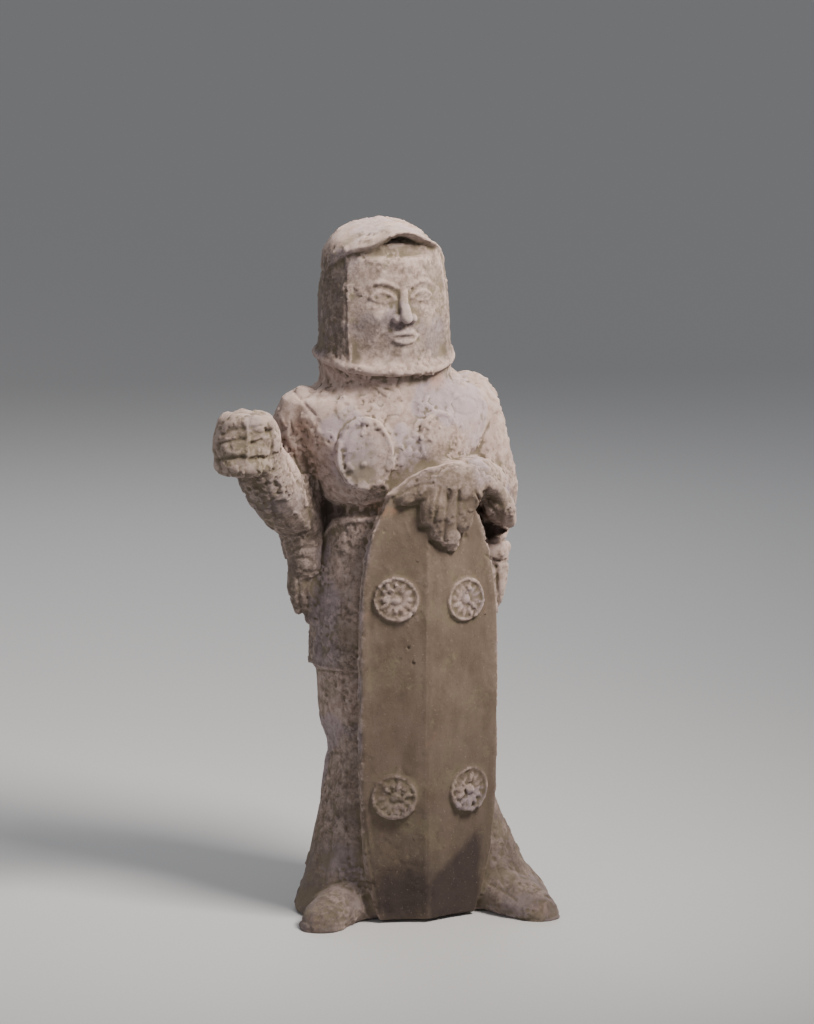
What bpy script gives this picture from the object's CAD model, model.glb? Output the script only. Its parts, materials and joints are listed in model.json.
# %% [markdown]
# # A pottery warrior with a long shield
# The figurine was pressed in a mould, worked over with tools, brushed with white slip and fired.
# Its broad forms are already in the solid that is loaded here. The lesson copies that solid, smooths it like
# leather-hard clay, adds every finer form as coils and pats of clay, joins all into one skin, carves the lines,
# and then gives the skin its slip, soil and stains.

# %% Load the solid
import itertools
import json
import math
import random

import bpy
import numpy as np
from mathutils import Matrix, Vector
from mathutils.bvhtree import BVHTree
from mathutils.kdtree import KDTree

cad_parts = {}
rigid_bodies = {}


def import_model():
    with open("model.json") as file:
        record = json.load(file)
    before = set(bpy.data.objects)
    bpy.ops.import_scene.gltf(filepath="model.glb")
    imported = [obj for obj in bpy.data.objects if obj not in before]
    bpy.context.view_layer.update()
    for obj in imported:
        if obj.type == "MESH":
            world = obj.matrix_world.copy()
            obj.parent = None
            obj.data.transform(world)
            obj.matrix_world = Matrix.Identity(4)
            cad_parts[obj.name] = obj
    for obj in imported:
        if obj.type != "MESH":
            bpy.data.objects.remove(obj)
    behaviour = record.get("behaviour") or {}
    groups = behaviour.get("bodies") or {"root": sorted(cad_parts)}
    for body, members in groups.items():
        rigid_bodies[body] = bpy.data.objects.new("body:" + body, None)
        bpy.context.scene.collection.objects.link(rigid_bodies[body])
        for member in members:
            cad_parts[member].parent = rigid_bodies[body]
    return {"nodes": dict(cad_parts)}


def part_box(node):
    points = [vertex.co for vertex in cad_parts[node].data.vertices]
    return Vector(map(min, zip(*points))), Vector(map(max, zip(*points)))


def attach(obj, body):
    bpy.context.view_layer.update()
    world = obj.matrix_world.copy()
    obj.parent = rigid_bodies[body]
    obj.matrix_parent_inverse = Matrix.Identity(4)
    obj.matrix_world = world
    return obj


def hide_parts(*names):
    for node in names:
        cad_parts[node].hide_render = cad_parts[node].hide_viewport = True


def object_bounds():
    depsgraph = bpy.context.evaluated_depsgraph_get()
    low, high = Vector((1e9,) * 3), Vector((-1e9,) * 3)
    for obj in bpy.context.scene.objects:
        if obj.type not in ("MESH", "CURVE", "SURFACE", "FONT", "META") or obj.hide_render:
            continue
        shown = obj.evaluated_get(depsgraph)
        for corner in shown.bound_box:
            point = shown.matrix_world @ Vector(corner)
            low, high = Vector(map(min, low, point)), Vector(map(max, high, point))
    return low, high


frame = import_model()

CAD_BOX = [[float(v) for v in corner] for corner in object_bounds()]
print("box of the solid in metres:", CAD_BOX)

# %% [markdown]
# ## Measures
# A potter measures from the board under the figure, so the lesson does too. Millimetres are counted from a point
# on the board under the middle of the shield. The solid's own box says where that point lies in the scene.

# %% From the board's millimetres to the scene's metres
MM = 0.001
FIST_X = -122.7
HELMET_BACK_Y = 41.1
low_corner, high_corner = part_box("warrior_figurine")
BOARD = Vector((low_corner.x - FIST_X * MM, high_corner.y - HELMET_BACK_Y * MM, 0.0))


def spot(x, y, z):
    """A place in the scene for a place on the board."""
    return Vector((x, y, z)) * MM + BOARD


print("the board's zero lies at", tuple(round(v, 4) for v in BOARD))

# %% [markdown]
# ## Camera
# The figure is seen a little from its raised arm's side and a little from above. A long lens keeps the head and
# the feet at nearly one scale. The camera comes first, because the finer forms are placed by where it sees them.

# %% Camera
LENS = 200.0
FILM = 36.0
PICTURE_WIDTH, PICTURE_HEIGHT = 814, 1024
VIEW_AZIMUTH = math.radians(-18.0)
VIEW_ELEVATION = math.radians(11.0)
PICTURE_SPAN_MM = 577.4
AIM_ACROSS_MM, AIM_UP_MM = 1.13, 225.0
FRONT_OF_FIGURE_MM = 60.0

side_way = Vector((math.cos(VIEW_AZIMUTH), math.sin(VIEW_AZIMUTH), 0.0))
to_camera = Vector(
    (
        math.sin(VIEW_AZIMUTH) * math.cos(VIEW_ELEVATION),
        -math.cos(VIEW_AZIMUTH) * math.cos(VIEW_ELEVATION),
        math.sin(VIEW_ELEVATION),
    )
)
up_way = to_camera.cross(side_way)
aim = BOARD + side_way * AIM_ACROSS_MM * MM + up_way * AIM_UP_MM * MM

camera_reach = (LENS / FILM * PICTURE_SPAN_MM + FRONT_OF_FIGURE_MM) * MM
bpy.ops.object.camera_add(location=aim + to_camera * camera_reach)
camera = bpy.context.object
camera.name = "camera"
camera.rotation_euler = Matrix((side_way, up_way, to_camera)).transposed().to_euler()
camera.data.lens = LENS
camera.data.sensor_width = FILM
camera.data.clip_end = 50.0
bpy.context.scene.camera = camera
print("camera stands", round((camera.location - aim).length, 3), "m from the figure")

# %% [markdown]
# ## Floor and light
# A pale floor and large soft lamps show fired clay best, because it has no gloss to hide. The main lamp hangs high
# in front, so that every carved edge throws a small shadow downwards.

# %% Floor and lamps
bpy.ops.mesh.primitive_plane_add(size=60.0, location=(0.0, 0.0, 0.0))
floor = bpy.context.object
floor.name = "floor"
floor_paint = bpy.data.materials.new("pale_floor")
floor_paint.use_nodes = True
floor_shader = floor_paint.node_tree.nodes["Principled BSDF"]
floor_shader.inputs["Base Color"].default_value = (0.62, 0.61, 0.60, 1.0)
floor_shader.inputs["Roughness"].default_value = 0.9
floor.data.materials.append(floor_paint)


def soft_lamp(name, place, size, watts, tint, looks_at=0.22, spread=180.0):
    """A square studio lamp that looks at a height of the figure."""
    bpy.ops.object.light_add(type="AREA", location=place)
    lamp = bpy.context.object
    lamp.name = name
    lamp.data.size = size
    lamp.data.energy = watts
    lamp.data.color = tint
    lamp.data.spread = math.radians(spread)
    backwards = Vector(place) - Vector((0.0, 0.0, looks_at))
    lamp.rotation_euler = backwards.to_track_quat("Z", "Y").to_euler()


soft_lamp("key_lamp", (0.34, -0.50, 0.92), 0.3, 4.0, (1.0, 0.94, 0.88), looks_at=0.42, spread=80.0)
soft_lamp("fill_lamp", (-1.4, -1.1, 0.7), 1.2, 4.2, (0.97, 0.97, 1.0))
soft_lamp("back_lamp", (0.2, 1.1, 1.0), 0.8, 5.0, (0.95, 0.97, 1.0))

world = bpy.data.worlds.new("studio_air")
world.use_nodes = True
air = world.node_tree.nodes["Background"]
air.inputs["Color"].default_value = (0.78, 0.80, 0.84, 1.0)
air.inputs["Strength"].default_value = 0.33
bpy.context.scene.world = world

# %% [markdown]
# ## The body, smoothed
# The solid has flat facets, and damp clay has none. A copy is turned into a skin of even small squares and then
# smoothed, as a wet sponge would. Fine forms go soft too, which is why they are all made again afterwards.

# %% Helpers for choosing, remeshing and smoothing
def alone(thing):
    """Selects one object and nothing else."""
    if bpy.context.object and bpy.context.object.mode != "OBJECT":
        bpy.ops.object.mode_set(mode="OBJECT")
    bpy.ops.object.select_all(action="DESELECT")
    thing.select_set(True)
    bpy.context.view_layer.objects.active = thing


def applied(thing, kind, **settings):
    """Adds one modifier with its settings and applies it."""
    alone(thing)
    modifier = thing.modifiers.new(kind.lower(), kind)
    for key, value in settings.items():
        setattr(modifier, key, value)
    bpy.ops.object.modifier_apply(modifier=modifier.name)


def outward(thing):
    """Merges doubled corners and turns every face outwards."""
    alone(thing)
    bpy.ops.object.mode_set(mode="EDIT")
    bpy.ops.mesh.select_all(action="SELECT")
    bpy.ops.mesh.remove_doubles(threshold=1e-6)
    bpy.ops.mesh.normals_make_consistent(inside=False)
    bpy.ops.object.mode_set(mode="OBJECT")


# %% The sponge
BODY_CELL = 1.4 * MM
SPONGE_PASSES = 40
solid = frame["nodes"]["warrior_figurine"]
body = bpy.data.objects.new("figurine", solid.data.copy())
bpy.context.scene.collection.objects.link(body)
alone(body)
bpy.ops.object.mode_set(mode="EDIT")
bpy.ops.mesh.select_all(action="SELECT")
bpy.ops.mesh.remove_doubles(threshold=1e-5)
bpy.ops.object.mode_set(mode="OBJECT")
applied(body, "REMESH", mode="VOXEL", voxel_size=BODY_CELL)
applied(body, "SMOOTH", factor=0.5, iterations=SPONGE_PASSES)
print("smoothed body:", len(body.data.vertices), "corners")

# %% [markdown]
# ## Coils and pats
# Everything finer is built as in the pottery: a coil is a curve with a round bevel that swells and thins, and a
# pat is a squashed ball. A coil can be laid on the body where the camera sees a spot of it, so it always sits on
# what carries it. Each coil and pat is kept in a list and joined to the body later.

# %% Where the body is met
clay_forms = []


def body_shape():
    """The body's skin as a tree that can be asked where a line meets it."""
    corners = [corner.co.copy() for corner in body.data.vertices]
    return BVHTree.FromPolygons(corners, [tuple(face.vertices) for face in body.data.polygons])


body_tree = body_shape()
FILM_PER_DOT = FILM / PICTURE_HEIGHT


def seen(across, down, lift=0.0):
    """The body's place at a spot of the picture, lifted off by some millimetres."""
    x = (across - PICTURE_WIDTH / 2) * FILM_PER_DOT
    y = (PICTURE_HEIGHT / 2 - down) * FILM_PER_DOT
    way = (side_way * x + up_way * y - to_camera * LENS).normalized()
    hit = body_tree.ray_cast(camera.location, way)[0]
    if hit is None:
        raise ValueError(f"the body isn't seen at {across}, {down}")
    return hit - way * lift * MM


def from_front(x, z, lift=0.0):
    """The body's front at a width and height on the board, lifted off by some millimetres."""
    return body_tree.ray_cast(spot(x, -150, z), Vector((0, 1, 0)))[0] - Vector((0, lift * MM, 0))


# %% Coil and pat
COIL_ROUNDING = 4
COIL_STEPS = 5


def coil(stations, closed=False):
    """A coil of clay through stations of a place and a radius in millimetres, with rounded ends."""
    stations = list(stations)
    if not closed:
        for end, inner in ((0, 1), (-1, -2)):
            place, radius = stations[end]
            along = (place - stations[inner][0]).normalized()
            bulge, point = place + along * radius * 0.6 * MM, place + along * radius * MM
            tip = [(bulge, radius * 0.8), (point, radius * 0.3)]
            stations = tip[::-1] + stations if end == 0 else stations + tip
    bpy.ops.curve.primitive_bezier_curve_add()
    line = bpy.context.object
    line.location = (0, 0, 0)
    spline = line.data.splines[0]
    spline.bezier_points.add(len(stations) - 2)
    for point, (place, radius) in zip(spline.bezier_points, stations):
        point.co = place
        point.radius = radius
        point.handle_left_type = point.handle_right_type = "AUTO"
    spline.use_cyclic_u = closed
    line.data.dimensions = "3D"
    line.data.resolution_u = COIL_STEPS
    line.data.bevel_depth = MM
    line.data.bevel_resolution = COIL_ROUNDING
    line.data.use_fill_caps = not closed
    bpy.ops.object.convert(target="MESH")
    clay_forms.append(line)


def pat(place, sizes, turn=(0, 0, 0)):
    """A pat of clay: a ball with half sizes in millimetres, turned by degrees."""
    bpy.ops.mesh.primitive_uv_sphere_add(segments=28, ring_count=16, radius=MM, location=place)
    ball = bpy.context.object
    ball.scale = sizes
    ball.rotation_euler = [math.radians(angle) for angle in turn]
    bpy.ops.object.transform_apply(location=True, rotation=True, scale=True)
    clay_forms.append(ball)


def on_board(rows):
    """Stations of a coil from rows of x, y, z and radius."""
    return [(spot(x, y, z), radius) for x, y, z, radius in rows]


def in_sight(rows):
    """Stations of a coil from rows of a picture spot, a lift and a radius."""
    return [(seen(across, down, lift), radius) for across, down, lift, radius in rows]


# %% [markdown]
# ## Turned forms
# The cap and the plates are thin shells over a round plan. A grid is wrapped round like a sheet of clay on a
# banding wheel: one way of the grid runs from the middle to the edge, the other way runs round. The seam and the
# middle are merged, so that the shell is closed.

# %% Wrapping a sheet round
def turned(name, rings, sides, shape):
    """A closed form from shape(share, angle), whose first and last rings shrink to a point."""
    bpy.ops.mesh.primitive_grid_add(x_subdivisions=sides, y_subdivisions=rings, size=2.0)
    form = bpy.context.object
    form.name = name
    for corner in form.data.vertices:
        corner.co = shape((corner.co.y + 1) / 2, (corner.co.x + 1) * math.pi)
    outward(form)
    clay_forms.append(form)


def smooth_step(value):
    """Rises from 0 to 1 without a corner."""
    held = min(1.0, max(0.0, value))
    return held * held * (3 - 2 * held)


# %% [markdown]
# ## Shield
# The long shield is folded down its middle like a roof and has an arched top. Each half is a little hollow
# between the fold and the edge, and the edge has a raised strip. The body behind it is pressed back first. Then a
# grid is pushed into the outline and the fold, and the sheet is extruded backwards to its thickness.

# %% The shield's outline and front
SHIELD_ROWS = np.array(
    [
        # height, left edge, right edge, set back of the fold
        (2, -26.5, 30.5, 11),
        (14, -31, 34.5, 9),
        (40, -36.5, 39.5, 5),
        (80, -39.5, 42, 1.5),
        (150, -40, 42, 0),
        (175, -40, 41.5, 0),
        (195, -39, 40, 0),
        (213, -36.5, 36.2, 1),
        (228, -32.5, 31.2, 2),
        (238, -28.5, 26.8, 3),
        (246, -23.5, 22.2, 4),
        (253, -17.5, 17.5, 5),
        (258, -12, 11, 6.5),
        (261, -4, 1, 7),
    ]
)
FOLD_X = -4.5
FOLD_Y = -54.0
FOLD_DEPTH = 13.0
SHIELD_HALF = 42.0
SHIELD_THICK = 6.5
HOLLOW_DEPTH, STRIP_HEIGHT, CREST_HEIGHT = 0.9, 0.8, 0.8


def shield_row(z):
    """Left edge, right edge, set back and fold of the shield at a height."""
    left, right, back = (np.interp(z, SHIELD_ROWS[:, 0], column) for column in SHIELD_ROWS.T[1:])
    return left, right, back, FOLD_X + 0.33 * back


def shield_front(x, z):
    """Depth of the shield's front, with the hollow of each half, the edge strip and the fold's crest."""
    left, right, back, fold = shield_row(z)
    share = np.abs(x - fold) / np.maximum(np.where(x < fold, fold - left, right - fold), 1.0)
    roof = FOLD_DEPTH * (np.abs(x - fold) / SHIELD_HALF) ** 1.3
    hollow = HOLLOW_DEPTH * np.exp(-(((share - 0.45) / 0.25) ** 2))
    strip = STRIP_HEIGHT * np.exp(-((np.maximum(0.0, 0.94 - share) / 0.04) ** 2))
    crest = CREST_HEIGHT * np.exp(-(((x - fold) / 1.7) ** 2))
    return FOLD_Y + back + roof + hollow - strip - crest


# %% The smoothed body pressed back behind the shield, and the hand on it flattened
FINGERTIP_Z = 214.0
HAND_TOP_Z, HAND_FADE = 256, 30
HAND_FLATTENING = 0.5
BEHIND = 1.0
SKIN_OF_SHIELD = 1.4
low_z, high_z = SHIELD_ROWS[0, 0], SHIELD_ROWS[-1, 0]
pressed = 0
for corner in body.data.vertices:
    x, y, z = (corner.co - BOARD) / MM
    left, right, _, _ = shield_row(z)
    if not (left < x < right and z < high_z) or y > shield_front(x, z) + BEHIND:
        continue
    proud = shield_front(x, z) - y
    if z < FINGERTIP_Z or proud < SKIN_OF_SHIELD:
        corner.co.y += (proud + BEHIND) * MM
        pressed += 1
    else:
        fade = min(1.0, max(0.0, (HAND_TOP_Z - z) / HAND_FADE))
        corner.co.y += proud * HAND_FLATTENING * fade * MM
print("corners of the body pressed back behind the shield:", pressed)

# %% The shield as a folded sheet
ROW_CROWDING = 1.35      # above 1, the rows lie closer together towards the arch
bpy.ops.mesh.primitive_grid_add(x_subdivisions=80, y_subdivisions=160, size=2.0)
shield = bpy.context.object
for corner in shield.data.vertices:
    z = low_z + (high_z - low_z) * (1 - (1 - (corner.co.y + 1) / 2) ** ROW_CROWDING)
    left, right, _, fold = shield_row(z)
    x = fold + corner.co.x * (fold - left if corner.co.x < 0 else right - fold)
    corner.co = spot(x, shield_front(x, z), z)
alone(shield)
bpy.ops.object.mode_set(mode="EDIT")
bpy.ops.mesh.select_all(action="SELECT")
bpy.ops.mesh.extrude_region_move(TRANSFORM_OT_translate={"value": (0, SHIELD_THICK * MM, 0)})
bpy.ops.object.mode_set(mode="OBJECT")
outward(shield)
clay_forms.append(shield)
print("shield:", len(shield.data.vertices), "corners")

# %% [markdown]
# ## Rosettes
# Four small wheels are pressed on the shield: a disc with a raised border, a ring of petals and a knob. One petal
# is a pat of clay, copied round the middle. The finished wheel is copied to its four places and each copy is
# turned to lie on its slope of the shield.

# %% Rosettes
ROSETTE_RADIUS = 13.0
BORDER_RADIUS, BORDER_THICK = 11.9, 0.9
PETALS = 12
PETAL_RING = 7.0
FACING = (math.pi / 2, 0, 0)


def rosette():
    """A rosette round the scene's zero that faces along -Y, as one mesh."""
    bpy.ops.mesh.primitive_cylinder_add(
        vertices=48, radius=ROSETTE_RADIUS * MM, depth=6 * MM, rotation=FACING, location=(0, 1.6 * MM, 0)
    )
    parts = [bpy.context.object]
    bpy.ops.mesh.primitive_torus_add(
        major_radius=BORDER_RADIUS * MM,
        minor_radius=BORDER_THICK * MM,
        major_segments=48,
        minor_segments=10,
        rotation=FACING,
        location=(0, -1.6 * MM, 0),
    )
    parts.append(bpy.context.object)
    for number in range(PETALS):
        angle = 2 * math.pi * number / PETALS
        bpy.ops.mesh.primitive_uv_sphere_add(
            segments=16,
            ring_count=10,
            radius=MM,
            location=(PETAL_RING * MM * math.sin(angle), -1.5 * MM, PETAL_RING * MM * math.cos(angle)),
            rotation=(0, angle, 0),
            scale=(1.5, 0.95, 3.5),
        )
        parts.append(bpy.context.object)
    bpy.ops.mesh.primitive_uv_sphere_add(
        segments=20, ring_count=12, radius=MM, location=(0, -1.6 * MM, 0), scale=(2.6, 1.4, 2.6)
    )
    parts.append(bpy.context.object)
    bpy.ops.object.select_all(action="DESELECT")
    for part in parts:
        part.select_set(True)
    bpy.context.view_layer.objects.active = parts[0]
    bpy.ops.object.join()
    bpy.ops.object.transform_apply(location=True, rotation=True, scale=True)
    return parts[0]


pattern = rosette()
SLOPE = math.radians(17)
SUNK = 0.25
ROSETTES = ((-21, 190, 1.0), (20, 187, 0.96), (-21.5, 76, 1.0), (23, 77, 1.0))
for number, (x, z, size) in enumerate(ROSETTES):
    copy = bpy.data.objects.new("rosette", pattern.data.copy())
    bpy.context.scene.collection.objects.link(copy)
    turn = Matrix.Rotation(math.copysign(SLOPE, x), 4, "Z") @ Matrix.Rotation(0.2 * number, 4, "Y")
    place = Matrix.Translation(spot(x, shield_front(x, z) + SUNK, z))
    copy.data.transform(place @ turn @ Matrix.Scale(size, 4))
    clay_forms.append(copy)
bpy.data.objects.remove(pattern)
print("rosettes:", len(ROSETTES), "of", PETALS, "petals each")

# %% [markdown]
# ## Cap, helmet edge and rim
# The cap is a low dome whose lip rises to a jutting peak over the forehead. Under it the helmet is open in front,
# with a fine upright edge by each cheek, and its foot is rolled outwards all round the neck.

# %% Cap
HEAD_X, NECK_X = -13.0, -11.7
HEAD_HALF_WIDTH, HEAD_HALF_DEPTH = 37.0, 38.0
CROWN_Z, LIP_SIDE_Z, LIP_FRONT_Z, LIP_PEAK_Z = 397.4, 370.0, 385.0, 395.0
CAP_LEAN = -4.2
LIP_SHARE = 0.72
LIP_THICK = 3.4
UNDERSIDE_Z = 382


def dome_fall(share):
    """Fall of the cap from its crown, from 0 there to 1 at the side edge."""
    fall = [1 - (1 - s**2.25) ** (1 / 2.25) for s in (share * 0.985, 0.985)]
    return fall[0] / fall[1]


def cap_shape(share, turn):
    """The cap's outside, then its lip and its underside."""
    c, s = math.cos(turn), math.sin(turn)
    front = max(0.0, -s)
    rise = smooth_step(front / 0.8)
    flank = LIP_SIDE_Z + (LIP_FRONT_Z - LIP_SIDE_Z) * rise
    edge_z = flank + (LIP_PEAK_Z - flank) * front ** (6 if c > 0 else 11)
    edge_share = 0.945 - 0.008 * c - 0.03 * rise + 0.055 * front**6
    q = min(1.0, share / LIP_SHARE) ** 0.8
    side_drop = dome_fall(q)
    drop = side_drop + (q**1.7 - side_drop) * rise
    z = CROWN_Z - (CROWN_Z - edge_z) * drop
    under = max(0.0, (share - LIP_SHARE) / (1 - LIP_SHARE))
    z -= LIP_THICK * math.sin(min(1.0, under * 5) * math.pi / 2)
    z += (UNDERSIDE_Z - z) * smooth_step((under - 0.3) / 0.7)
    reach = q * edge_share * (1 - under)
    x = HEAD_X + CAP_LEAN * q * (1 - q**6) + HEAD_HALF_WIDTH * reach * c
    return spot(x, HEAD_HALF_DEPTH * reach * s, z)


turned("cap", 50, 120, cap_shape)
pat(spot(HEAD_X - 1, 0, CROWN_Z - 0.6), (4.4, 4, 1.7), (0, 8, 0))
print("the cap is", round(CROWN_Z - LIP_SIDE_Z, 1), "mm high at its sides")

# %% Rim
RIM_Z = 322.0
RIM_DROOP = 5.5
RIM_HALF_WIDTH, RIM_HALF_DEPTH = 37.6, 38.2
RIM_STEPS = 32
rim = []
for step in range(RIM_STEPS):
    angle = 2 * math.pi * step / RIM_STEPS
    wobble = 0.35 * math.sin(3 * angle + 1) + 0.2 * math.sin(7 * angle)
    z = RIM_Z + RIM_DROOP * min(0.0, math.sin(angle)) + wobble
    x, y = NECK_X - 0.5 + RIM_HALF_WIDTH * math.cos(angle), RIM_HALF_DEPTH * math.sin(angle)
    rim.append((spot(x, y, z), 2.5 + 0.3 * math.sin(5 * angle)))
coil(rim, closed=True)
print("rim:", RIM_STEPS, "stations round the neck")

# %% Cheek edges
HEAD_FOOT_Z, HEAD_LEAN_HEIGHT = 318, 48
CHEEK_X = 28
CHEEK_EDGE = ((318, 0.4), (334, 0.4), (346, 0.4), (356, 0.2), (365, 0), (374, -0.4), (381, -1.0))


def head_middle(z):
    """The head's middle, which leans a little to one side as it rises."""
    return NECK_X + (HEAD_X - NECK_X) * smooth_step((z - HEAD_FOOT_Z) / HEAD_LEAN_HEIGHT)


for side in (-1, 1):
    coil([(from_front(head_middle(z) + side * (CHEEK_X + spare), z, -0.55), 0.85) for z, spare in CHEEK_EDGE])
print("clay forms so far:", len(clay_forms))

# %% [markdown]
# ## Face
# The face is a calm one of plain proportions: brows, nose and mouth each a third apart, and an eye's width between
# the eyes. The broad forms are pushed out of the head's skin with the thumb, which here is a soft push that fades
# from its middle. The brows, lids, nose and lips are small coils and pats laid on top.

# %% Broad forms of the face
CHIN_Z = 324.0
THIRD = 20.5
NOSE_Z = CHIN_Z + THIRD
BROW_Z = NOSE_Z + THIRD
EYE_Z = BROW_Z - 6.5
MOUTH_Z = CHIN_Z + 12.5
EYE_X = 11.2
FACE_X = HEAD_X + 0.6
FRONT_Y = -15


def push_front(rows):
    """Pushes the body's front out round places, each row with x, z, two reaches and the height of the push."""
    for corner in body.data.vertices:
        x, y, z = (corner.co - BOARD) / MM
        if y < FRONT_Y:
            push = sum(
                h * math.exp(-(((x - px) / rx) ** 2) - ((z - pz) / rz) ** 2) for px, pz, rx, rz, h in rows
            )
            corner.co.y -= MM * push


face_pushes = [(FACE_X, CHIN_Z + 3.5, 8, 5, 1.8), (FACE_X, MOUTH_Z, 11, 7, 1.2)]
face_pushes.append((FACE_X, BROW_Z + 11, 17, 8, 0.8))
for side in (-1, 1):
    face_pushes.append((FACE_X + side * 14.5, NOSE_Z + 3, 7.5, 8, 1.7))
    face_pushes.append((FACE_X + side * EYE_X, EYE_Z, 8, 5, -1.5))
    face_pushes.append((FACE_X + side * 7.5, NOSE_Z - 3, 3, 6, -0.5))
push_front(face_pushes)
print("soft pushes on the face:", len(face_pushes))

# %% [markdown]
# The solid's head fills the space under the cap's peak and its crown stands too high for the new cap. Both are
# cut back here, and the shoulders are lowered where they slope away from the neck.

# %% Recess under the peak, crown and shoulders
RECESS_Z, RECESS_Y, RECESS_HALF_WIDTH = 375, -28.0, 27
FOREHEAD_TOP_Z = 379.5
CROWN_FROM_Z, CROWN_LOWERING = 384, 0.24
SHOULDER_LOW_Z, SHOULDER_HIGH_Z = 294, 317
for corner in body.data.vertices:
    x, y, z = (corner.co - BOARD) / MM
    if y < FRONT_Y and z > RECESS_Z:
        inside = smooth_step((RECESS_HALF_WIDTH - abs(x - HEAD_X)) / 4) * smooth_step((-y - 16) / 6)
        behind_lip = RECESS_Y * math.sqrt(max(0.0, 1 - ((x - HEAD_X) / HEAD_HALF_DEPTH) ** 2))
        corner.co.y += MM * max(0.0, behind_lip - y) * inside * smooth_step((z - FOREHEAD_TOP_Z + 1) / 2)
    if z > CROWN_FROM_Z:
        corner.co.z -= MM * CROWN_LOWERING * (z - CROWN_FROM_Z)
    if SHOULDER_LOW_Z < z < SHOULDER_HIGH_Z:
        near_neck = smooth_step((z - SHOULDER_LOW_Z - 2) / 10) * smooth_step((SHOULDER_HIGH_Z - z) / 5)
        fall = 4.0 * smooth_step((-x - 40) / 8) + 3.0 * smooth_step((x - 26) / 8)
        corner.co.z -= MM * fall * near_neck
body_tree = body_shape()
print("highest corner of the body:", round(max(corner.co.z for corner in body.data.vertices), 4), "m")


# %% Fine forms of the face
BROW = ((4, -1.2, 1.3), (8, 1.2, 1.7), (13, 1.6, 1.6), (19, -1.2, 1.0))
UPPER_LID = ((-6.0, -0.8), (-3.6, 1.6), (0, 2.6), (3.8, 1.9), (6.4, -0.4))
LOWER_LID = ((-6.0, -0.8), (-3.2, -2.2), (0.4, -2.7), (4, -2.0), (6.4, -0.4))
NOSE = (
    (0, BROW_Z - 3, -0.6, 2.2),
    (0, BROW_Z - 9, 0.2, 2.7),
    (0, NOSE_Z + 6, 1.4, 3.3),
    (0, NOSE_Z + 3.0, 2.2, 3.7),
)
UPPER_LIP = ((8.4, -0.2, 0.0, 0.9), (4.5, 1.5, 0.5, 1.4), (1.4, 2.1, 0.7, 1.5))
LOWER_LIP = ((7.0, -1.2, 0.0, 1.0), (3.6, -2.5, 0.4, 1.6))
LOWER_LIP_MIDDLE = ((0, -2.9, 0.6, 1.8),)


def on_face(rows):
    """Stations of a coil on the face from rows of across, height, lift and radius."""
    return [(from_front(FACE_X + x, z, lift), radius) for x, z, lift, radius in rows]


def lip(half, middle=()):
    """A lip from the rows of its right half, which are mirrored to the left."""
    rows = (*((-x, *rest) for x, *rest in half), *middle, *half[::-1])
    coil(on_face([(x, MOUTH_Z + z, lift, radius) for x, z, lift, radius in rows]))


for side in (-1, 1):
    coil(on_face([(side * x, BROW_Z + z, -0.4, radius) for x, z, radius in BROW]))
    pat(from_front(FACE_X + side * EYE_X, EYE_Z, -1.7), (5.6, 3.4, 3.4))
    coil(on_face([(side * (EYE_X + x), EYE_Z + z, 1.0, 0.95) for x, z in UPPER_LID]))
    coil(on_face([(side * (EYE_X + x), EYE_Z + z, 0.6, 0.8) for x, z in LOWER_LID]))
    pat(from_front(FACE_X + side * 4.5, NOSE_Z + 2.0, 0.2), (2.8, 3.0, 2.6))
coil(on_face(NOSE))
lip(UPPER_LIP)
lip(LOWER_LIP, LOWER_LIP_MIDDLE)
print("clay forms with the face:", len(clay_forms))

# %% [markdown]
# ## Breast plates
# Two oval plates lie on the chest. Each has a rolled border, a groove and a swelling middle, so one profile is
# turned round an oval plan and laid on the chest where it curves. Seen from the front, the right plate is the
# smaller one, and a coil thickens the lower border of the left one.

# %% Breast plates
PLATE_PROFILE = (
    # share of the way out and rise
    (0.0, 2.4), (0.3, 2.3), (0.6, 1.8), (0.72, 1.2), (0.80, 0.3),
    (0.87, 0.4), (0.94, 1.1), (1.0, 1.0), (1.06, -0.8),
)
PLATE_BACK = -5.0


def breast_plate(x, y, z, half_width, half_height, turn):
    """An oval plate at a place on the chest, turned round the upright to follow it."""
    shares, rises = zip(*PLATE_PROFILE)
    face = Matrix.Translation(spot(x, y, z)) @ Matrix.Rotation(math.radians(turn), 4, "Z")

    def shape(share, angle):
        level = min(1.06, share * 1.12) if share < 0.99 else 0.0
        rise = np.interp(level, shares, rises) if share < 0.96 else PLATE_BACK
        c, s = math.cos(angle), math.sin(angle)
        wide = 1 - 0.06 * s
        return face @ (Vector((half_width * level * wide * c, -rise, half_height * level * s)) * MM)

    turned("plate", 44, 56, shape)


breast_plate(-35.2, -37.0, 271, 15.6, 19.5, -16)
breast_plate(8.2, -37.2, 277.5, 12.2, 15, 14)
LOWER_BORDER = (
    (339, 462, -0.8, 1.2),
    (345, 474, -0.6, 2.0),
    (353, 482, -0.6, 2.3),
    (363, 486, -0.6, 2.2),
    (375, 483, -0.8, 1.6),
    (384, 476, -1.0, 1.1),
)
coil(in_sight(LOWER_BORDER))
print("clay forms with the plates:", len(clay_forms))

# %% [markdown]
# ## Arms and hands
# The arms are thick coils from shoulder to elbow and from elbow to wrist. The fist is a block of palm with four
# fingers bent over it, one above another. The other hand is a broad dome over the shield's top with its fingers
# hanging down the front and its thumb laid across.

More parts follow.
